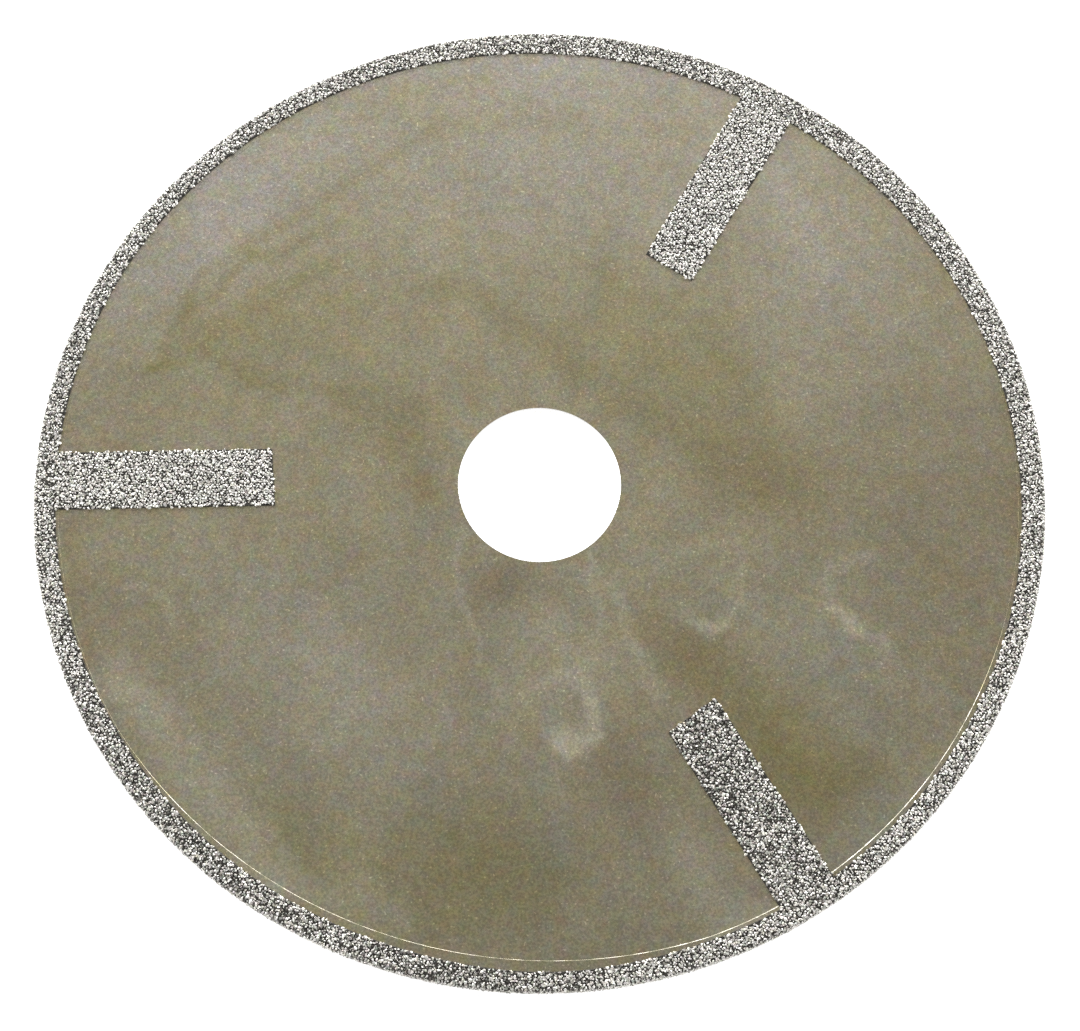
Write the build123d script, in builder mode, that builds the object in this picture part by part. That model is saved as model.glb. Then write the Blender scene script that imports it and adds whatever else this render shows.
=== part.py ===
from build123d import *
import math
import os

# Diamond cut-off wheel: a flat steel blank whose rim carries one layer of diamond grit held in plated nickel.
# The wheel lies flat. The origin is the centre of its bore, halfway through its thickness, and +Z is its axis, out of
# the front face. Lengths are in millimetres, and directions in degrees, anticlockwise from +X seen from the front.

# The blank
wheel_diameter = 125.0
bore_diameter = 20.0
blank_thickness = 1.4
blank_edge_chamfer = 0.2
bore_chamfer = 0.1

# The grit: it stands as far out from the blank's faces as from its edge
coat_thickness = 0.3
rim_band_width = 2.9

# The three bars of grit on each face. Each was masked off by hand, so they differ a little. A bar's direction is the
# way it points, outwards. Its offset is how far its middle line passes to the left of the wheel's centre, looking
# outwards. Its lean is how far its inner end is out of square.
left_bar_direction = 183.7
left_bar_offset = -1.6
left_bar_inner_end = 32.9
left_bar_inner_width = 7.6
left_bar_outer_width = 7.6
left_bar_lean = -3.3

upper_bar_direction = 62.2
upper_bar_offset = 0.4
upper_bar_inner_end = 33.6
upper_bar_inner_width = 7.0
upper_bar_outer_width = 7.5
upper_bar_lean = 2.1

lower_bar_direction = -56.0
lower_bar_offset = 0.2
lower_bar_inner_end = 34.6
lower_bar_inner_width = 7.3
lower_bar_outer_width = 7.7
lower_bar_lean = -5.3

# The land: bare nickel that crept under the mask, inside the band. On the front face the mask's circle lay off
# centre, so the land swells to its swell width on one side. Its circle's centre is moved by mask_shift.
land_height = 0.08
land_width = 0.25
land_swell_width = 1.1
land_swell_direction = -104.0
mask_shift = 3.6

# Sizes that follow
wheel_radius = wheel_diameter / 2
bore_radius = bore_diameter / 2
blank_radius = wheel_radius - coat_thickness
wheel_thickness = blank_thickness + 2 * coat_thickness
coat_corner_radius = blank_edge_chamfer + coat_thickness
band_inner_radius = wheel_radius - rim_band_width
bar_outer_radius = wheel_radius - rim_band_width / 2
land_inner_radius = band_inner_radius - land_width
mask_radius = band_inner_radius - land_swell_width + mask_shift
front_face = Plane.XY.offset(blank_thickness / 2)
back_face = Plane(origin=(0, 0, -blank_thickness / 2), x_dir=(1, 0, 0), z_dir=(0, 0, -1))


def bar_corners(offset, inner_end, inner_width, outer_width, lean):
    """The corners of one bar of grit, in a frame whose X runs outwards along the bar from the wheel's centre."""
    slope = math.tan(math.radians(lean))
    inner_half = inner_width / 2
    outer_half = outer_width / 2
    return [
        (inner_end - slope * inner_half, offset - inner_half),
        (wheel_radius, offset - outer_half),
        (wheel_radius, offset + outer_half),
        (inner_end + slope * inner_half, offset + inner_half),
    ]


bars = {
    left_bar_direction: bar_corners(
        left_bar_offset, left_bar_inner_end, left_bar_inner_width, left_bar_outer_width, left_bar_lean
    ),
    upper_bar_direction: bar_corners(
        upper_bar_offset, upper_bar_inner_end, upper_bar_inner_width, upper_bar_outer_width, upper_bar_lean
    ),
    lower_bar_direction: bar_corners(
        lower_bar_offset, lower_bar_inner_end, lower_bar_inner_width, lower_bar_outer_width, lower_bar_lean
    ),
}

# The steel blank: a plain disc with its rim's edges cut back for the plating, and a bore with its edges broken
with BuildPart() as steel_disc:
    with BuildSketch(Plane.XY.offset(-blank_thickness / 2)):
        Circle(blank_radius)
    extrude(amount=blank_thickness)
    chamfer(steel_disc.edges().filter_by(GeomType.CIRCLE), blank_edge_chamfer)
    Hole(bore_radius)
    bore_edges = steel_disc.edges(Select.LAST).filter_by(GeomType.CIRCLE)
    chamfer(bore_edges, bore_chamfer)
steel_disc.part.label = "steel_disc"

# The coating: one deposit, the same thickness everywhere, that wraps the rim and runs in as bars on both faces
with BuildPart() as diamond_coating:
    # The band round the rim, in section
    with BuildSketch(Plane.XZ) as band_section:
        with Locations((band_inner_radius, 0)):
            Rectangle(rim_band_width, wheel_thickness, align=(Align.MIN, Align.CENTER))
        fillet(band_section.vertices().group_by(Axis.X)[-1], coat_corner_radius)
    revolve(axis=Axis.Z)

    # The bars, from their inner ends to the middle of the band, on the front and in the same places on the back
    with BuildSketch(front_face):
        for direction, corners in bars.items():
            with PolarLocations(0, 1, start_angle=direction):
                Polygon(*corners, align=None)
        Circle(bar_outer_radius, mode=Mode.INTERSECT)
    front_bars = extrude(amount=coat_thickness)
    mirror(front_bars, about=Plane.XY)

    # The land on the front, between the band and the circles of the two masks
    with BuildSketch(mode=Mode.PRIVATE) as bare_front:
        Circle(land_inner_radius)
        with PolarLocations(-mask_shift, 1, start_angle=land_swell_direction):
            Circle(mask_radius, mode=Mode.INTERSECT)
    with BuildSketch(front_face):
        Circle(band_inner_radius)
        add(bare_front.sketch_local, mode=Mode.SUBTRACT)
    extrude(amount=land_height)

    # The land on the back, the same width all round
    with BuildSketch(back_face):
        Circle(band_inner_radius)
        Circle(land_inner_radius, mode=Mode.SUBTRACT)
    extrude(amount=land_height)

    # The blank fills the middle of the band
    add(steel_disc.part, mode=Mode.SUBTRACT)
diamond_coating.part.label = "diamond_coating"

os.makedirs("parts", exist_ok=True)
export_step(steel_disc.part, "parts/steel_disc.step")
export_step(diamond_coating.part, "parts/diamond_coating.step")
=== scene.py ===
# Diamond cut-off wheel: how a plated cutting disc looks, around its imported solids.
# Everything is in metres, in the solids' own frame. The wheel lies flat, its axis is +Z out of the front
# face, and the origin is in its bore, halfway through its thickness. It is one body, so every piece rides
# on "root".

import math

import bpy
import numpy as np
from mathutils import Matrix, Vector, noise


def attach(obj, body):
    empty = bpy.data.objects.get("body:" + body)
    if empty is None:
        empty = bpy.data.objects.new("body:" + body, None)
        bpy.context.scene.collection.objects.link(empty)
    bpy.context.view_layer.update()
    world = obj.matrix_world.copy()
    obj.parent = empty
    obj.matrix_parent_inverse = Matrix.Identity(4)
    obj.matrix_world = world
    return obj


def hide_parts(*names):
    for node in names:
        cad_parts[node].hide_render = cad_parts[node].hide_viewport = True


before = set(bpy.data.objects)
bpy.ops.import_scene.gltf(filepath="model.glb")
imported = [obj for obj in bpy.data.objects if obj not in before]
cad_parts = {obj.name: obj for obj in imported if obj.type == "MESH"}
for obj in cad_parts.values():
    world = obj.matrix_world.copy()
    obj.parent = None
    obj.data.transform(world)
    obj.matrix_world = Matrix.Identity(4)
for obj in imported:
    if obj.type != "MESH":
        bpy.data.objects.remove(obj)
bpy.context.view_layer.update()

mm = 0.001

# The wheel's sizes, the same as in the solids
wheel_radius = 62.5 * mm
bore_radius = 10.0 * mm
bore_chamfer = 0.1 * mm
blank_half = 0.7 * mm
coat_thickness = 0.3 * mm
blank_edge_chamfer = 0.2 * mm
band_inner_radius = 59.6 * mm
land_height = 0.08 * mm
land_inner_radius = 59.35 * mm
blank_radius = wheel_radius - coat_thickness

# The bars of grit, the same as in the solids. Directions and leans are in degrees.
bars = [
    dict(
        direction=183.7, lean=-3.3, offset=-1.6 * mm,
        inner_end=32.9 * mm, inner_width=7.6 * mm, outer_width=7.6 * mm,
    ),
    dict(
        direction=62.2, lean=2.1, offset=0.4 * mm,
        inner_end=33.6 * mm, inner_width=7.0 * mm, outer_width=7.5 * mm,
    ),
    dict(
        direction=-56.0, lean=-5.3, offset=0.2 * mm,
        inner_end=34.6 * mm, inner_width=7.3 * mm, outer_width=7.7 * mm,
    ),
]

# Where this wheel's grit lies in fact. The front mask wasn't quite round, and it slipped over a short
# stretch, so the band's inner edge wanders a little. Directions here and below are in degrees, and so are
# reaches and fades that run round the wheel.
front_edge_radius = 59.82 * mm
front_edge_wave = 0.2 * mm
front_edge_wave_direction = 144.0
mask_slip = 0.40 * mm
mask_slip_direction = -87.0
mask_slip_reach = 11.0

# How much thicker the deposit round the edge is than in the solids, most of all towards the upper right
edge_growth = 0.35 * mm
edge_growth_lean = 0.22 * mm
edge_growth_wave = 0.12 * mm
edge_growth_direction = 42.0

# The land on the front face. It reaches in to the mask's circle, which lies off centre, so that the land is
# widest in the swell's direction, and elsewhere it ends at its limit. It stands up over one stretch, and dies
# away past that stretch's ends. Its inner step is widest at the lip.
front_land_limit = 59.45 * mm
mask_radius = 62.45 * mm
mask_shift = 3.8 * mm
land_swell_direction = -107.0
land_stretch_middle = -80.0
land_stretch_reach = 46.0
land_stretch_fade = 20.0
land_lip_direction = -56.0
land_lip_reach = 26.0
land_lip = 0.03 * mm
land_slope = 0.10 * mm
faded_land = 0.01 * mm

# The nickel between the grains, which they stand out of. It stops short of the grit's outline, under the last
# grains, and its underside is sunk in the blank. The bars' is a hair lower than the band's, which it runs in
# under.
bond_thickness = 0.12 * mm
bond_slope = 0.08 * mm
bond_inset = 0.04 * mm
bar_bond_inset = 0.05 * mm
bar_bond_end = 60.8 * mm
bar_bond_drop = 0.01 * mm
sunk = 0.04 * mm

# The grains. Each is a crystal stretched by factors in this range, with its corners scattered by a share of
# its size, and then flattened. Its tip stands at least lowest_tip above the blank. The outermost grains lie
# inside the grit's outline by the margin, more or less.
grain_size = 0.38 * mm
grain_size_spread = 0.15
grain_stretch = (0.55, 1.45)
corner_scatter = 0.12
grain_flatness = 0.85
lowest_tip = 0.2 * mm
edge_margin = 0.10 * mm
edge_raggedness = 0.07 * mm

# The grid that the grains sit on, and how far they are scattered off it, in shares of its pitch
grain_pitch = 0.36 * mm
seat_scatter = 0.3
wall_height_scatter = 0.5

# The rows of grains round the edge: those on its wall, in pitches from the middle, and those on each of its
# cut-back corners, by the share of the way across from the wall, and the degrees that they point up or down.
wall_rows = (-1, 0, 1)
corner_rows = ((0.25, 25), (0.75, 65))

# Where the random draws start
front_seed = 11
back_seed = 12
edge_seed = 13

# The grains' shades run from 0 to 1, to this power: low over most of the grit, and high where it is darker,
# which is in these patches on the near (-Y) side, and a little all along the rim. The patches' places and
# sizes are in millimetres and their turns in degrees.
bright_power = 0.42
dull_power = 1.40
rim_dullness = 0.27
bar_dullness = 0.0
dull_patches = [
    dict(centre=(24, -36), length=70, width=26, turn=-56),
    dict(centre=(-44, -44), length=100, width=70, turn=-45),
    dict(centre=(-10, -62), length=80, width=30, turn=0),
]

# How finely round pieces are divided
plate_segments = 560
plate_rings = 112
bond_segments = 720
bond_corner_steps = 8
sharpest_smooth_edge = 20.0


class Graph:
    """Short forms for building a material's nodes. Lengths inside a material are in millimetres."""

    def __init__(self, tree):
        self.tree = tree
        tree.nodes.clear()

    def add(self, kind, inputs=None, **settings):
        """A node of this kind, with these inputs and settings."""
        node = self.tree.nodes.new(kind)
        for name, value in settings.items():
            setattr(node, name, value)
        for name, value in (inputs or {}).items():
            self.put(node.inputs[name], value)
        return node

    def put(self, socket, value):
        """Links the socket to an output, or sets it to a plain value."""
        if isinstance(value, bpy.types.NodeSocket):
            self.tree.links.new(value, socket)
        else:
            socket.default_value = value

    def math(self, operation, a, b=0.0):
        return self.add("ShaderNodeMath", {0: a, 1: b}, operation=operation).outputs[0]

    def vector(self, operation, a, b=(0, 0, 0)):
        return self.add("ShaderNodeVectorMath", {0: a, 1: b}, operation=operation).outputs["Vector"]

    def scaled(self, vector, factor):
        inputs = {0: vector, "Scale": factor}
        return self.add("ShaderNodeVectorMath", inputs, operation="SCALE").outputs["Vector"]

    def dot(self, a, b):
        return self.add("ShaderNodeVectorMath", {0: a, 1: b}, operation="DOT_PRODUCT").outputs["Value"]

    def ease(self, value, start, end, low=0.0, high=1.0):
        """low where the value is at start or before it, high at end or past it, and smooth between."""
        ranges = {"Value": value, "From Min": start, "From Max": end, "To Min": low, "To Max": high}
        settings = {"interpolation_type": "SMOOTHSTEP", "clamp": False}
        return self.add("ShaderNodeMapRange", ranges, **settings).outputs["Result"]

    def mix(self, factor, a, b, blend="MIX"):
        node = self.add("ShaderNodeMix", data_type="RGBA", blend_type=blend)
        self.put(node.inputs["Factor"], factor)
        self.put(node.inputs[6], a)
        self.put(node.inputs[7], b)
        return node.outputs[2]

    def noise(self, place, size, detail=2.0, roughness=0.5, output="Fac"):
        """Noise whose features are about so many millimetres across."""
        inputs = {"Vector": place, "Scale": 1 / size, "Detail": detail, "Roughness": roughness}
        return self.add("ShaderNodeTexNoise", inputs).outputs[output]

    def place(self):
        """The point's place on the wheel in millimetres."""
        return self.scaled(self.add("ShaderNodeTexCoord").outputs["Object"], 1 / mm)


def new_material(name):
    material = bpy.data.materials.new(name)
    material.use_nodes = True
    return material, Graph(material.node_tree)


def finish_material(graph, normal=None, **inputs):
    """Ends a material in a Principled shader with these inputs."""
    shader = graph.add("ShaderNodeBsdfPrincipled")
    for name, value in inputs.items():
        graph.put(shader.inputs[name.replace("_", " ").title().replace("Ior", "IOR")], value)
    if normal is not None:
        graph.put(shader.inputs["Normal"], normal)
    output = graph.add("ShaderNodeOutputMaterial")
    graph.tree.links.new(shader.outputs["BSDF"], output.inputs["Surface"])


# The plating's colours: nickel as it mostly is, and what its stains and smears turn it into
nickel = (0.415, 0.374, 0.254, 1)
haze = (0.460, 0.425, 0.342, 1)
blue_haze = (0.475, 0.441, 0.375, 1)
pale = (0.515, 0.474, 0.345, 1)
chalk = (0.640, 0.600, 0.480, 1)
straw = (0.490, 0.450, 0.268, 1)
olive = (0.378, 0.341, 0.205, 1)
dark_olive = (0.325, 0.284, 0.145, 1)
brown = (0.325, 0.268, 0.148, 1)
umber = (0.325, 0.270, 0.185, 1)
dusk = (0.345, 0.303, 0.210, 1)
mist = (0.425, 0.405, 0.305, 1)

# The stains on the front face, the first ones undermost. Places and sizes are in millimetres, and turn is the
# direction in degrees that a stain's length runs in.
stains = [
    dict(colour=haze, strength=0.75, centre=(0, 46), length=120, width=52, turn=0),
    dict(colour=blue_haze, strength=0.85, centre=(-42, 36), length=66, width=26, turn=48),
    dict(colour=blue_haze, strength=0.80, centre=(0, 59), length=90, width=18, turn=-2),
    dict(colour=haze, strength=0.60, centre=(36, 28), length=36, width=44, turn=0),
    dict(colour=dusk, strength=0.90, centre=(52, -2), length=84, width=48, turn=92),
    dict(colour=brown, strength=0.50, centre=(60, 4), length=50, width=10, turn=94),
    dict(colour=brown, strength=0.35, centre=(49, -10), length=12, width=12, turn=0),
    dict(colour=dusk, strength=0.50, centre=(-54, 6), length=30, width=26, turn=90),
    dict(colour=dusk, strength=0.20, centre=(-50, -20), length=26, width=20, turn=-60),
    dict(colour=olive, strength=0.80, centre=(-36, 18), length=46, width=22, turn=18),
    dict(colour=olive, strength=0.90, centre=(14, 19), length=50, width=28, turn=-38),
    dict(colour=dark_olive, strength=0.30, centre=(20, 12), length=26, width=18, turn=-50),
    dict(colour=dark_olive, strength=0.45, centre=(-20, 10), length=30, width=18, turn=-55),
    dict(colour=brown, strength=0.80, centre=(28, 2), length=28, width=20, turn=-20),
    dict(colour=umber, strength=0.75, centre=(-4, -14), length=16, width=11, turn=-10),
    dict(colour=haze, strength=0.45, centre=(-22, -27), length=62, width=38, turn=-20),
    dict(colour=mist, strength=0.50, centre=(-19, -34), length=34, width=14, turn=-20),
    dict(colour=pale, strength=0.50, centre=(-23, -28), length=44, width=26, turn=-25),
    dict(colour=pale, strength=0.70, centre=(3, -23), length=24, width=24, turn=-60),
    dict(colour=brown, strength=0.85, centre=(20, -22), length=24, width=15, turn=-42),
    dict(colour=dark_olive, strength=1.00, centre=(31, -33), length=38, width=17, turn=-48),
    dict(colour=dark_olive, strength=0.60, centre=(39, -35), length=16, width=10, turn=0),
    dict(colour=umber, strength=0.45, centre=(11, -38), length=30, width=20, turn=-60),
    dict(colour=pale, strength=0.60, centre=(-37, -41), length=34, width=22, turn=-45),
    dict(colour=straw, strength=0.75, centre=(-24, -50), length=36, width=22, turn=-30),
    dict(colour=olive, strength=0.85, centre=(-27, -46), length=26, width=14, turn=-35),
    dict(colour=dark_olive, strength=0.80, centre=(-5, -49), length=34, width=26, turn=0),
    dict(colour=mist, strength=0.75, centre=(37, -21), length=26, width=17, turn=-25),
    dict(colour=pale, strength=0.70, centre=(22, -48), length=26, width=12, turn=-58),
    dict(colour=chalk, strength=0.60, centre=(28, -54), length=18, width=8, turn=25),
    dict(colour=mist, strength=0.80, centre=(42, -41), length=22, width=12, turn=42),
    dict(colour=chalk, strength=0.50, centre=(6, -32), length=8, width=6, turn=20),
]

# The smears on the front face: broken bands along lines, each soft across its width
smears = [
    dict(
        colour=dark_olive, strength=0.52, width=3.0,
        points=[(-49, 13), (-47, 18), (-43, 24), (-38, 29)],
    ),
    dict(colour=dark_olive, strength=0.45, width=3.5, points=[(-38, 29), (-33, 31), (-27, 34)]),
    dict(
        colour=dark_olive, strength=0.35, width=3.5,
        points=[(-46, 21), (-45, 26), (-38, 31), (-31, 36)],
    ),
    dict(colour=olive, strength=0.50, width=3.5, points=[(-31, 36), (-22, 43), (-15, 48)]),
    dict(colour=dark_olive, strength=0.30, width=7, points=[(-46, 16), (-37, 22), (-27, 29)]),
    dict(
        colour=dark_olive, strength=0.45, width=3.5,
        points=[(-49, 13), (-43, 16), (-37, 13), (-29, 11), (-24, 10)],
    ),
    dict(colour=brown, strength=0.45, width=8, points=[(-17, 9), (-17, 4), (-14, -2)]),
    dict(
        colour=dark_olive, strength=0.42, width=8,
        points=[(-16, 25), (-11, 26), (-6, 23), (-1, 20), (4, 15)],
    ),
    dict(colour=dark_olive, strength=0.35, width=10, points=[(4, 15), (10, 10), (16, 8), (21, 5)]),
    dict(colour=dark_olive, strength=0.25, width=8, points=[(7, 29), (18, 24), (25, 15), (29, 6)]),
    dict(colour=olive, strength=0.30, width=5, points=[(-15, 49), (-4, 50), (6, 50), (18, 49)]),
    dict(colour=olive, strength=0.30, width=4, points=[(-30, 47), (-20, 53), (-10, 56)]),
    dict(colour=brown, strength=0.40, width=6, points=[(-58, -8), (-56, -16), (-53, -25)]),
    dict(
        colour=pale, strength=0.85, width=9,
        points=[(-50, -27), (-43, -34), (-38, -41), (-33, -46), (-30, -50)],
    ),
    dict(
        colour=pale, strength=0.60, width=6,
        points=[(-30, -50), (-25, -52), (-19, -52), (-14, -55)],
    ),
    dict(colour=blue_haze, strength=0.50, width=10, points=[(29, 46), (32, 36), (36, 32)]),
    dict(colour=mist, strength=0.50, width=5, points=[(3, -35), (3, -39), (4, -46)]),
    dict(colour=pale, strength=0.55, width=4, points=[(9, -12), (12, -19), (15, -26)]),
    dict(colour=blue_haze, strength=0.35, width=6, points=[(-36, -14), (-27, -18), (-22, -24)]),
    dict(
        colour=pale, strength=0.60, width=2.2,
        points=[(-9, -7), (-10, -12), (-8, -18), (-6, -23), (-3, -27)],
    ),
    dict(colour=pale, strength=0.65, width=2.4, points=[(7, -9), (8, -16), (7, -23)]),
    dict(colour=chalk, strength=0.42, width=3.0, points=[(1, -26), (4, -24), (7, -26), (8, -29)]),
    dict(colour=chalk, strength=0.75, width=4.4, points=[(8, -28), (8, -31), (6, -33), (3, -32)]),
    dict(colour=pale, strength=0.50, width=2.6, points=[(3, -33), (1, -30), (-1, -27)]),
    dict(colour=pale, strength=0.30, width=2.4, points=[(15, -11), (19, -7), (25, -7), (26, -11)]),
    dict(
        colour=pale, strength=0.40, width=3.0,
        points=[(26, -11), (25, -16), (22, -18), (20, -17), (18, -15)],
    ),
    dict(colour=chalk, strength=0.40, width=2.2, points=[(21, -17), (23, -18), (24, -17)]),
    dict(
        colour=pale, strength=0.45, width=3.4,
        points=[(41, -7), (38, -8), (36, -11), (36, -14), (39, -17)],
    ),
    dict(
        colour=chalk, strength=0.32, width=3.2,
        points=[(37, -15), (39, -17), (41, -18), (43, -19)],
    ),
    dict(
        colour=pale, strength=0.50, width=2.4,
        points=[(-49, -16), (-47, -16), (-45, -17), (-44, -20)],
    ),
]

# How far the marks' outlines wander: the size of each wander and its reach, in millimetres. Blender draws the
# wander from the clock unless it has a seed, and with this one the outlines are those of the settled look.
wanders = [(14, 1.0), (4, 0.9), (1.5, 0.6)]
wander_seed = 1796116739

# How the smears are broken: the size of the breaks in millimetres, and how much a break changes a smear
break_size = 4.0
break_depth = 0.5

# The plating's finish. Sizes are in millimetres, and its colour is multiplied by the tones and tints.
cloud_size = 5
cloud_tones = (0.965, 1.035)
speck_size = 1.6
speck_share = 0.23
tint_size = 1.5
cool_tint = (0.985, 1.0, 1.10, 1)
warm_tint = (1.015, 1.0, 0.90, 1)
plate_grain_size = 0.27
plate_grain_tones = (0.84, 1.16)
# Painted glints: where fine noise peaks, brightness is added to the plating's colour
sparkle_size = 0.30
sparkle_range = (0.72, 0.84)
sparkle_tone = 0.6
gloss_size = 9
plate_roughness = (0.40, 0.43)
plate_bump = 0.01 * mm

# The bond between the grains, coloured nearly black as painted shade in the gaps
lump_size = 0.3
lump_bump = 0.05 * mm
shaded_bond_hollow = (0.020, 0.0185, 0.015, 1)
shaded_bond_lump = (0.075, 0.070, 0.060, 1)

# The land's inner step, painted much lighter than the plate as a painted highlight: its colours where that
# highlight is dim and where it is full
step_break_size = 1.6
step_highlight_dim = (0.30, 0.28, 0.22, 1)
step_highlight_full = (0.78, 0.765, 0.70, 1)

# The bore's wall. Its lines are short along the axis and long round it.
ream_scale = (0.4, 0.4, 14.0)
ream_bump = 0.005 * mm
ream_dark = (0.86, 0.855, 0.84, 1)
ream_bright = (0.98, 0.975, 0.96, 1)

# The grains' colours at these shades, and the faint tints over them
grain_colours = [
    (0.0, (0.060, 0.055, 0.046, 1)),
    (0.12, (0.30, 0.292, 0.262, 1)),
    (0.4, (0.60, 0.583, 0.532, 1)),
    (1.0, (0.82, 0.805, 0.757, 1)),
]
grain_tint_size = 0.5
grain_tint_share = 0.18


def smooth_step(value, start, end):
    """0 where the value is at start or before it, 1 at end or past it, and smooth between."""
    share = np.clip((value - start) / (end - start), 0, 1)
    return share * share * (3 - 2 * share)


def in_patch(x, y, centre, length, width, turn):
    """1 at an oval patch's middle, fading to 0 at its edge."""
    cosine, sine = math.cos(math.radians(turn)), math.sin(math.radians(turn))
    right, up = x - centre[0], y - centre[1]
    along = (right * cosine + up * sine) * 2 / length
    across = (up * cosine - right * sine) * 2 / width
    return 1 - smooth_step(np.hypot(along, across), 0, 1)


def on_line(x, y, points, width):
    """1 on a line of straight runs through these points, fading to 0 at half its width to either side."""
    nearest = np.full(len(x), np.inf)
    for (x0, y0), (x1, y1) in zip(points, points[1:]):
        run_x, run_y = x1 - x0, y1 - y0
        along = np.clip(((x - x0) * run_x + (y - y0) * run_y) / (run_x**2 + run_y**2), 0, 1)
        nearest = np.minimum(nearest, np.hypot(x - x0 - along * run_x, y - y0 - along * run_y))
    return 1 - smooth_step(nearest, 0, width / 2)


def plating_colours(vertices):
    """The plating's colour at each vertex, with the stains and smears where it is on the front face."""
    places = np.array(vertices) / mm
    x, y = places[:, 0].copy(), places[:, 1].copy()
    noise.seed_set(wander_seed)
    for size, reach in wanders:
        shifts = np.array([noise.noise_vector((px / size, py / size, size)) for px, py in places[:, :2]])
        x += shifts[:, 0] * reach
        y += shifts[:, 1] * reach
    breaks = np.array([noise.noise((px / break_size, py / break_size, 0)) for px, py in places[:, :2]])
    colours = np.tile(nickel, (len(places), 1))
    in_front = places[:, 2] > 0
    for stain in stains:
        shape = in_patch(x, y, stain["centre"], stain["length"], stain["width"], stain["turn"])
        share = (shape * stain["strength"] * in_front)[:, None]
        colours = colours * (1 - share) + np.array(stain["colour"]) * share
    for smear in smears:
        shape = on_line(x, y, smear["points"], smear["width"]) * (1 + break_depth * breaks)
        share = (np.clip(shape * smear["strength"], 0, 1) * in_front)[:, None]
        colours = colours * (1 - share) + np.array(smear["colour"]) * share
    return colours


def plate_material():
    """Satin nickel plating, coloured at its vertices, with faint clouds, a fine grain, and painted glints
    added to its colour.
    """
    material, graph = new_material("satin_nickel")
    place = graph.place()
    colour = graph.add("ShaderNodeAttribute", attribute_name="plating").outputs["Color"]
    clouds = graph.noise(place, cloud_size, detail=4.0, roughness=0.6)
    mottle = graph.ease(clouds, 0.25, 0.75, *cloud_tones)
    specks = graph.noise(place, speck_size, detail=4.0, roughness=0.7, output="Color")
    colour = graph.mix(speck_share, colour, specks, "OVERLAY")
    warmth = graph.ease(graph.noise(place, tint_size, detail=3.0), 0.3, 0.7)
    colour = graph.mix(1.0, colour, graph.mix(warmth, cool_tint, warm_tint), "MULTIPLY")
    grain = graph.noise(place, plate_grain_size, detail=0.0)
    tone = graph.math("MULTIPLY", mottle, graph.ease(grain, 0.2, 0.8, *plate_grain_tones))
    # Painted glints, added to the colour's tone
    glints = graph.noise(place, sparkle_size, detail=0.0)
    tone = graph.math("ADD", tone, graph.ease(glints, *sparkle_range, 0.0, sparkle_tone))
    colour = graph.mix(1.0, colour, tone, "MULTIPLY")
    roughness = graph.ease(graph.noise(place, gloss_size, detail=4.0), 0.3, 0.7, *plate_roughness)
    bump = graph.add("ShaderNodeBump", {"Strength": 0.25, "Distance": plate_bump, "Height": grain})
    normal = bump.outputs["Normal"]
    finish_material(graph, base_color=colour, metallic=1.0, roughness=roughness, normal=normal)
    return material


def bond_material():
    """The nickel between the grains, coloured nearly black as painted shade in the gaps."""
    material, graph = new_material("bond_painted_shade")
    lumps = graph.noise(graph.place(), lump_size, detail=3.0)
    # The bond's colour is painted shade: nearly black, a little lumpy
    colour = graph.mix(graph.ease(lumps, 0.3, 0.7), shaded_bond_hollow, shaded_bond_lump)
    bump = graph.add("ShaderNodeBump", {"Strength": 0.6, "Distance": lump_bump, "Height": lumps})
    finish_material(graph, base_color=colour, metallic=0.5, roughness=0.6, normal=bump.outputs["Normal"])
    return material


def step_material():
    """The land's inner step: a painted highlight, much lighter than the plate's nickel, dimmer here and
    there.
    """
    material, graph = new_material("step_painted_highlight")
    breaks = graph.ease(graph.noise(graph.place(), step_break_size, detail=3.0), 0.38, 0.60)
    finish_material(graph, base_color=graph.mix(breaks, step_highlight_dim, step_highlight_full), metallic=0.8, roughness=0.35)
    return material


def bore_material():
    """The bore's wall: steel reamed bright after the plating, with fine lines round it."""
    material, graph = new_material("reamed_steel")
    lines = graph.noise(graph.vector("MULTIPLY", graph.place(), ream_scale), 1.0, detail=3.0)
    colour = graph.mix(graph.ease(lines, 0.3, 0.7), ream_dark, ream_bright)
    bump = graph.add("ShaderNodeBump", {"Strength": 0.15, "Distance": ream_bump, "Height": lines})
    finish_material(graph, base_color=colour, metallic=1.0, roughness=0.18, normal=bump.outputs["Normal"])
    return material


def grain_material():
    """Diamond crystals under a skin of nickel: each has its own shade, from nearly black to nearly white."""
    material, graph = new_material("diamond_grain")
    shade = graph.add("ShaderNodeAttribute", attribute_name="shade").outputs["Fac"]
    ramp = graph.add("ShaderNodeValToRGB", {"Fac": shade})
    while len(ramp.color_ramp.elements) < len(grain_colours):
        ramp.color_ramp.elements.new(0.5)
    for element, (position, colour) in zip(ramp.color_ramp.elements, grain_colours):
        element.position = position
        element.color = colour
    tints = graph.noise(graph.place(), grain_tint_size, detail=1.0, output="Color")
    colour = graph.mix(grain_tint_share, ramp.outputs["Color"], tints, "OVERLAY")
    finish_material(graph, base_color=colour, metallic=0.5, roughness=0.3)
    return material


def make_piece(name, vertices, faces, materials, face_materials=None, shade=None, plating=None):
    """A mesh piece that rides on the wheel. Shade is a number per vertex, and plating a colour per vertex."""
    mesh = bpy.data.meshes.new(name)
    mesh.from_pydata(vertices, [], faces)
    for material in materials:
        mesh.materials.append(material)
    if face_materials is not None:
        mesh.polygons.foreach_set("material_index", face_materials)
    if shade is not None:
        mesh.attributes.new("shade", "FLOAT", "POINT").data.foreach_set("value", shade)
    if plating is not None:
        attribute = mesh.attributes.new("plating", "FLOAT_COLOR", "POINT")
        attribute.data.foreach_set("color", plating.ravel())
    mesh.validate()
    piece = bpy.data.objects.new(name, mesh)
    bpy.context.scene.collection.objects.link(piece)
    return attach(piece, "root")


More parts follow.
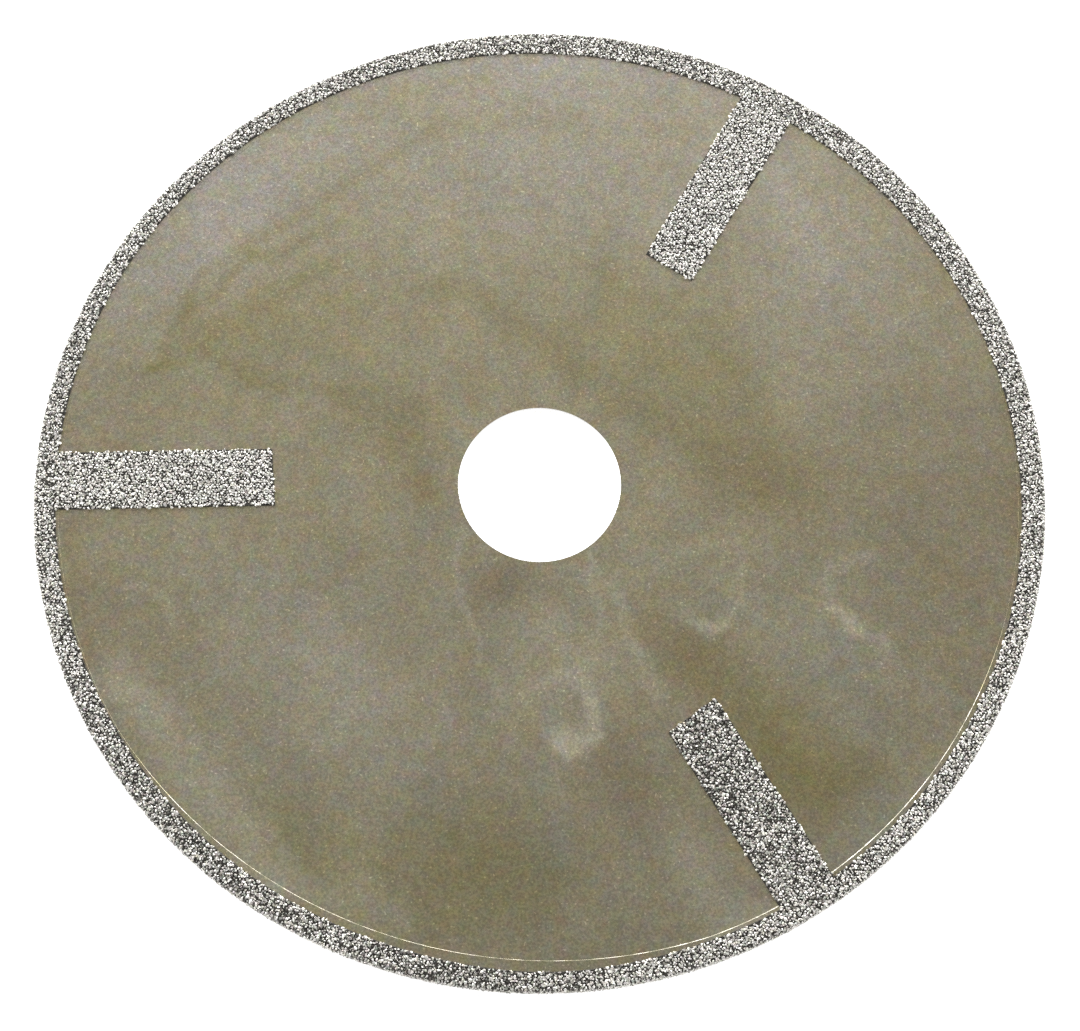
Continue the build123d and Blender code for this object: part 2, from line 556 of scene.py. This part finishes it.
def round_shape(section_at, segments):
    """The vertices and faces of a closed section carried round the axis. section_at gives it at an angle."""
    rings = []
    for step in range(segments):
        angle = 2 * math.pi * step / segments
        rings.append([(r * math.cos(angle), r * math.sin(angle), z) for r, z in section_at(angle)])
    width = len(rings[0])
    vertices = [vertex for ring in rings for vertex in ring]
    faces = []
    for step in range(segments):
        here, there = step * width, (step + 1) % segments * width
        for side in range(width):
            after = (side + 1) % width
            faces.append((here + side, here + after, there + after, there + side))
    return vertices, faces


def smooth_but_sharp(piece):
    """Smooth shading, except over edges that turn by more than sharpest_smooth_edge."""
    piece.data.shade_smooth()
    piece.data.set_sharp_from_angle(angle=math.radians(sharpest_smooth_edge))


def make_plate(material, bore):
    """The blank: a flat disc with its edges cut back. Its front is divided into rings for the stains."""
    face_edge = blank_radius - blank_edge_chamfer
    front_radii = np.linspace(face_edge, bore_radius + bore_chamfer, plate_rings)
    front = [(radius, blank_half) for radius in front_radii]
    section = [
        (bore_radius, -blank_half + bore_chamfer),
        (bore_radius + bore_chamfer, -blank_half),
        (face_edge, -blank_half),
        (blank_radius, -blank_half + blank_edge_chamfer),
        (blank_radius, blank_half - blank_edge_chamfer),
        *front,
        (bore_radius, blank_half - bore_chamfer),
    ]
    vertices, faces = round_shape(lambda angle: section, plate_segments)
    width = len(section)
    in_bore = (0, width - 2, width - 1)
    kinds = [1 if face % width in in_bore else 0 for face in range(len(faces))]
    plating = plating_colours(vertices)
    plate = make_piece("plate", vertices, faces, [material, bore], kinds, plating=plating)
    smooth_but_sharp(plate)
    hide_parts("steel_disc")


def front_land_radius(angle):
    """Where the front land ends inwards: at its limit, or at the mask's circle where that is further in."""
    towards = angle - math.radians(land_swell_direction + 180)
    across = mask_shift * math.sin(towards)
    mask_edge = mask_shift * math.cos(towards) + math.sqrt(mask_radius**2 - across**2)
    return min(front_land_limit, mask_edge)


def turn_between(angle, direction):
    """How far an angle in radians lies from a direction in degrees, either way round, in degrees."""
    return abs((math.degrees(angle) - direction + 180) % 360 - 180)


def front_land_share(angle):
    """How much of the front land stands up at this angle: 1 over its stretch, and 0 past its ends."""
    past = turn_between(angle, land_stretch_middle) - land_stretch_reach
    return 1 - float(smooth_step(past, 0, land_stretch_fade))


def front_land_slope(angle):
    """How wide the front land's inner step is at this angle."""
    from_lip = turn_between(angle, land_lip_direction)
    share = 1 - float(smooth_step(from_lip, land_lip_reach / 2, land_lip_reach))
    return land_slope + land_lip * share


def front_grit_radius(angle):
    """Where the grit's inner edge lies on the front face at this angle, or at each of these angles."""
    wave = np.cos(2 * (angle - math.radians(front_edge_wave_direction)))
    from_slip = (angle - math.radians(mask_slip_direction) + math.pi) % (2 * math.pi) - math.pi
    slip = np.exp(-((from_slip / math.radians(mask_slip_reach)) ** 2))
    return front_edge_radius + front_edge_wave * wave + mask_slip * slip


def growth(angle):
    """How much thicker the grit round the edge is than in the solids, at this angle or at each of these."""
    towards = angle - math.radians(edge_growth_direction)
    return edge_growth + edge_growth_lean * np.cos(towards) + edge_growth_wave * np.cos(2 * towards)


def bar_outline(bar, outer_end, inset=0.0):
    """The corners of a bar, each moved inwards by the inset, in a frame whose X runs outwards along it."""
    slope = math.tan(math.radians(bar["lean"]))
    share = (outer_end - bar["inner_end"]) / (wheel_radius - bar["inner_end"])
    inner_half = bar["inner_width"] / 2 - inset
    outer_half = inner_half + (bar["outer_width"] - bar["inner_width"]) / 2 * share
    inner_end = bar["inner_end"] + inset
    return [
        (inner_end - slope * inner_half, bar["offset"] - inner_half),
        (outer_end, bar["offset"] - outer_half),
        (outer_end, bar["offset"] + outer_half),
        (inner_end + slope * inner_half, bar["offset"] + inner_half),
    ]


def turned(points, degrees):
    """Points of a bar's own frame as places on the wheel."""
    cosine, sine = math.cos(math.radians(degrees)), math.sin(math.radians(degrees))
    return [(x * cosine - y * sine, x * sine + y * cosine) for x, y in points]


def band_section(angle):
    """The bond's section round the rim: the front land, the edge, the back land, and back along the blank."""
    front_land, back_land = front_land_radius(angle), land_inner_radius
    bond_top, back_top = blank_half + bond_thickness, blank_half + land_height
    front_top = blank_half + faded_land + (land_height - faded_land) * front_land_share(angle)
    edge = blank_radius + bond_thickness + growth(angle)
    corner = blank_edge_chamfer + bond_thickness
    bond_foot = front_grit_radius(angle) + bond_inset
    front = [(front_land, blank_half - sunk), (front_land + front_land_slope(angle), front_top)]
    front += [(bond_foot, front_top), (bond_foot + bond_slope, bond_top)]
    for step in range(bond_corner_steps + 1):
        turn = math.radians(90 * (1 - step / bond_corner_steps))
        out, up = corner * math.cos(turn), corner * math.sin(turn)
        front.append((edge - corner + out, bond_top - corner + up))
    back = [(r, -z) for r, z in reversed(front)]
    back_foot = band_inner_radius + bond_inset
    back[-4:] = [(back_foot + bond_slope, -bond_top), (back_foot, -back_top)]
    back += [(back_land + land_slope, -back_top), (back_land, -blank_half + sunk)]
    inside = blank_radius - blank_edge_chamfer - sunk
    return front + back + [(inside, -blank_half + sunk), (inside, blank_half - sunk)]


def make_bond(bond, plate, step):
    """The nickel that holds the grains, coloured as painted shade, the bare land inside the band, which looks
    like the plate, and the land's inner step, which carries a painted highlight.
    """
    vertices, faces = round_shape(band_section, bond_segments)
    width = len(band_section(0.0))
    of_bond, of_plate, of_step = 0, 1, 2
    front_step, front_bare, back_bare, back_step = 0, 1, width - 5, width - 4
    kinds = []
    for segment in range(bond_segments):
        raised = front_land_share(2 * math.pi * (segment + 0.5) / bond_segments) > 0.5
        for side in range(width):
            # The front step where it stands up, and the back step, take the painted highlight
            is_step = side == back_step or side == front_step and raised
            is_bare = side in (front_step, front_bare, back_bare)
            kinds.append(of_step if is_step else of_plate if is_bare else of_bond)
    for bar in bars:
        for side in (1, -1):
            first = len(vertices)
            top = bond_thickness - bar_bond_drop
            for inset, height in ((bar_bond_inset, -sunk), (bar_bond_inset + bond_slope, top)):
                for x, y in turned(bar_outline(bar, bar_bond_end, inset), bar["direction"]):
                    vertices.append((x, y, side * (blank_half + height)))
            slab = [(3, 2, 1, 0), (4, 5, 6, 7)]
            slab += [(i, (i + 1) % 4, (i + 1) % 4 + 4, i + 4) for i in range(4)]
            for face in slab:
                face = face if side == 1 else face[::-1]
                faces.append(tuple(first + corner for corner in face))
                kinds.append(of_bond)
    plating = plating_colours(vertices)
    piece = make_piece("nickel_bond", vertices, faces, [bond, plate, step], kinds, plating=plating)
    smooth_but_sharp(piece)
    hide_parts("diamond_coating")


def crystal():
    """The corners and faces of a cube whose own corners are cut off to the middles of its edges."""
    places = [(x, y, z) for x in (-1, 0, 1) for y in (-1, 0, 1) for z in (-1, 0, 1)]
    corners = [place for place in places if sum(map(abs, place)) == 2]
    number = {corner: index for index, corner in enumerate(corners)}
    faces = []
    for x in (-1, 1):
        for y in (-1, 1):
            for z in (-1, 1):
                faces.append([(x, y, 0), (0, y, z), (x, 0, z)])
    for axis in range(3):
        for side in (-1, 1):
            ring = [(1, 0), (0, 1), (-1, 0), (0, -1)]
            faces.append([tuple(int(c) for c in np.insert(pair, axis, side)) for pair in ring])
    ordered = []
    for face in faces:
        facing = np.cross(np.subtract(face[1], face[0]), np.subtract(face[2], face[1]))
        outward = facing @ np.mean(face, 0) > 0
        ordered.append([number[corner] for corner in (face if outward else face[::-1])])
    return np.array(corners) / math.sqrt(2), ordered


def random_turns(random, count):
    """So many rotation matrices, with every direction as likely as any other."""
    w, x, y, z = random.normal(size=(4, count))
    size = np.sqrt(w * w + x * x + y * y + z * z)
    w, x, y, z = w / size, x / size, y / size, z / size
    rows = [
        [1 - 2 * (y * y + z * z), 2 * (x * y - z * w), 2 * (x * z + y * w)],
        [2 * (x * y + z * w), 1 - 2 * (x * x + z * z), 2 * (y * z - x * w)],
        [2 * (x * z - y * w), 2 * (y * z + x * w), 1 - 2 * (x * x + y * y)],
    ]
    return np.array(rows).transpose(2, 0, 1)


def make_grains(name, seats, outward, material, random, dullness):
    """One piece of grains, each at its seat on the blank, half sunk in the bond, with its tip outward."""
    corners, faces = crystal()
    count, width = len(seats), len(corners)
    stretches = random.uniform(*grain_stretch, (count, 1, 3))
    shapes = corners * stretches + random.normal(0, corner_scatter, (count, width, 3))
    shapes = np.einsum("nij,nkj->nki", random_turns(random, count), shapes)
    shapes *= grain_size / 2 * random.lognormal(0, grain_size_spread, (count, 1, 1))
    along = np.einsum("nkj,nj->nk", shapes, outward)
    shapes -= (along * (1 - grain_flatness))[:, :, None] * outward[:, None, :]
    tips = random.uniform(lowest_tip, coat_thickness, count)
    lift = tips - (along * grain_flatness).max(1)
    vertices = (shapes + (seats + lift[:, None] * outward)[:, None, :]).reshape(-1, 3)
    half_thickness = blank_half + coat_thickness
    vertices[:, 2] = vertices[:, 2].clip(-half_thickness, half_thickness)
    grains = np.arange(count)[:, None] * width
    all_faces = []
    for face in faces:
        all_faces.extend((grains + face).tolist())
    x, y = seats[:, 0] / mm, seats[:, 1] / mm
    dull = np.max([in_patch(x, y, **patch) for patch in dull_patches], 0).clip(dullness)
    power = bright_power + (dull_power - bright_power) * dull
    shade = np.repeat(random.uniform(0, 1, count) ** power, width)
    piece = make_piece(name, vertices.tolist(), all_faces, [material], shade=shade)
    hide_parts("diamond_coating")


def depth_in_bars(x, y):
    """How far inside a bar's outline each place is, and below 0 outside them all."""
    deepest = np.full(len(x), -1.0)
    for bar in bars:
        corners = turned(bar_outline(bar, wheel_radius), bar["direction"])
        depth = np.full(len(x), 1.0)
        for (x0, y0), (x1, y1) in zip(corners, corners[1:] + corners[:1]):
            side = math.hypot(x1 - x0, y1 - y0)
            depth = np.minimum(depth, ((x1 - x0) * (y - y0) - (y1 - y0) * (x - x0)) / side)
        deepest = np.maximum(deepest, depth)
    return deepest


def face_seats(random, inner_edge):
    """Where the grains of one face sit: in the band, which starts at inner_edge, and in the bars."""
    row_step = grain_pitch * math.sqrt(3) / 2
    rows = int(wheel_radius / row_step) + 1
    columns = int(wheel_radius / grain_pitch) + 1
    row, column = np.mgrid[-rows : rows + 1, -columns : columns + 1].reshape(2, -1)
    x = (column + 0.5 * (row % 2)) * grain_pitch
    x = x + random.uniform(-seat_scatter, seat_scatter, row.size) * grain_pitch
    y = row * row_step + random.uniform(-seat_scatter, seat_scatter, row.size) * grain_pitch
    ragged = edge_margin + random.uniform(-edge_raggedness, edge_raggedness, row.size)
    radius, angle = np.hypot(x, y), np.arctan2(y, x)
    on_face = radius < blank_radius - blank_edge_chamfer + growth(angle)
    in_band = on_face & (radius > inner_edge(angle) + ragged)
    in_bars = on_face & ~in_band & (depth_in_bars(x, y) > ragged)
    return np.column_stack([x, y])[in_band], np.column_stack([x, y])[in_bars]


def edge_seats(random):
    """Where the grains round the edge sit, and which way each points."""
    rows = [(blank_radius, height * grain_pitch, 1.0, 0.0) for height in wall_rows]
    for share, turn in corner_rows:
        out, up = math.cos(math.radians(turn)), math.sin(math.radians(turn))
        radius = blank_radius - share * blank_edge_chamfer
        height = blank_half - (1 - share) * blank_edge_chamfer
        rows += [(radius, side * height, out, side * up) for side in (-1, 1)]
    count = int(2 * math.pi * blank_radius / grain_pitch)
    seats, outward = [], []
    for row, (radius, height, out, up) in enumerate(rows):
        jitter = random.uniform(-seat_scatter, seat_scatter, (2, count))
        angle = (np.arange(count) + 0.5 * (row % 2) + jitter[0]) * 2 * math.pi / count
        z = height + jitter[1] * grain_pitch * wall_height_scatter
        grown = radius + growth(angle)
        seats.append(np.column_stack([grown * np.cos(angle), grown * np.sin(angle), z]))
        level = np.full(count, up)
        outward.append(np.column_stack([out * np.cos(angle), out * np.sin(angle), level]))
    return np.concatenate(seats), np.concatenate(outward)


def back_grit_radius(angle):
    """Where the grit's inner edge lies on the back face, the same at every angle."""
    return band_inner_radius


def make_grit(material):
    """All the grains: both faces' bands and bars, and the edge."""
    faces = [("front", 1, front_seed, front_grit_radius), ("back", -1, back_seed, back_grit_radius)]
    for name, side, seed, inner_edge in faces:
        random = np.random.default_rng(seed)
        in_band, in_bars = face_seats(random, inner_edge)
        for part, dullness, places in (("band", rim_dullness, in_band), ("bars", bar_dullness, in_bars)):
            seats = np.column_stack([places, np.full(len(places), side * blank_half)])
            outward = np.tile((0.0, 0.0, float(side)), (len(places), 1))
            make_grains(f"grit_{part}_{name}", seats, outward, material, random, dullness)
    random = np.random.default_rng(edge_seed)
    make_grains("grit_edge", *edge_seats(random), material, random, rim_dullness)


# The camera, as the photograph was taken: nearly overhead, a little from the front and turned a little. The
# tilt is from straight down, in degrees.
camera_lens = 84.957
camera_tilt = 18.146
camera_roll = 2.4094
camera_distance = 314.964 * mm
camera_target = (0.2238 * mm, -4.1830 * mm, 1.0 * mm)
camera_clip_start = 10 * mm


def make_camera():
    """The camera, looking at its target."""
    tilt, roll = math.radians(camera_tilt), math.radians(camera_roll)
    back = Vector((0, -math.sin(tilt), math.cos(tilt)))
    level_right = Vector((1, 0, 0))
    level_up = back.cross(level_right)
    right = level_right * math.cos(roll) + level_up * math.sin(roll)
    up = level_up * math.cos(roll) - level_right * math.sin(roll)
    data = bpy.data.cameras.new("camera")
    data.lens = camera_lens
    data.clip_start = camera_clip_start
    camera = bpy.data.objects.new("camera", data)
    bpy.context.scene.collection.objects.link(camera)
    turn = Matrix((right, up, back)).transposed().to_4x4()
    camera.matrix_world = Matrix.Translation(Vector(camera_target) + back * camera_distance) @ turn
    bpy.context.scene.camera = camera


# The studio: a white table that glows a little, under a tent whose walls are bright and whose roof is dark.
# The far side is brighter than the near side. A direction's height runs from 0 at the horizon to 1 overhead,
# and the walls' light gives way to the roof's between wall_height and roof_height.
table_size = 8.0
table_white = (0.93, 0.93, 0.93, 1)
table_glow = 0.7
near_roof = (0.250, 0.250, 0.250, 1)
far_roof = (0.390, 0.390, 0.395, 1)
near_wall = (1.0, 1.0, 1.0, 1)
far_wall = (5.8, 5.8, 5.8, 1)
roof_height = 0.80
wall_height = 0.35

# Which way the far side lies, and from where to where, going that way, the walls and the roof get brighter
towards_far_side = (-0.12, 0.99, 0.0)
wall_brightens = (-0.6, 1.0)
roof_brightens = (0.1, 0.6)

# How wide the render's pixels are filtered, in pixels
pixel_filter = 1.5


def make_table():
    """The white table that the wheel lies on."""
    half = table_size / 2
    level = -(blank_half + coat_thickness)
    corners = [(-half, -half), (half, -half), (half, half), (-half, half)]
    mesh = bpy.data.meshes.new("table")
    mesh.from_pydata([(x, y, level) for x, y in corners], [], [(0, 1, 2, 3)])
    material, graph = new_material("white_table")
    glow = dict(emission_color=table_white, emission_strength=table_glow)
    finish_material(graph, base_color=table_white, roughness=0.9, **glow)
    mesh.materials.append(material)
    table = bpy.data.objects.new("table", mesh)
    bpy.context.scene.collection.objects.link(table)


def make_tent():
    """The light from all round: bright walls under a dark roof."""
    world = bpy.data.worlds.new("studio")
    world.use_nodes = True
    graph = Graph(world.node_tree)
    direction = graph.add("ShaderNodeTexCoord").outputs["Generated"]
    height = graph.dot(direction, (0, 0, 1))
    far = graph.dot(direction, towards_far_side)
    wall = graph.mix(graph.ease(far, *wall_brightens), near_wall, far_wall)
    roof = graph.mix(graph.ease(far, *roof_brightens), near_roof, far_roof)
    light = graph.mix(graph.ease(height, wall_height, roof_height, 1.0, 0.0), roof, wall)
    background = graph.add("ShaderNodeBackground", {"Color": light})
    output = graph.add("ShaderNodeOutputWorld")
    graph.tree.links.new(background.outputs["Background"], output.inputs["Surface"])
    scene = bpy.context.scene
    scene.world = world
    scene.view_settings.view_transform = "Standard"
    scene.cycles.use_denoising = False
    scene.cycles.filter_width = pixel_filter


satin_nickel = plate_material()
make_plate(satin_nickel, bore_material())
make_bond(bond_material(), satin_nickel, step_material())
make_grit(grain_material())
make_camera()
make_table()
make_tent()
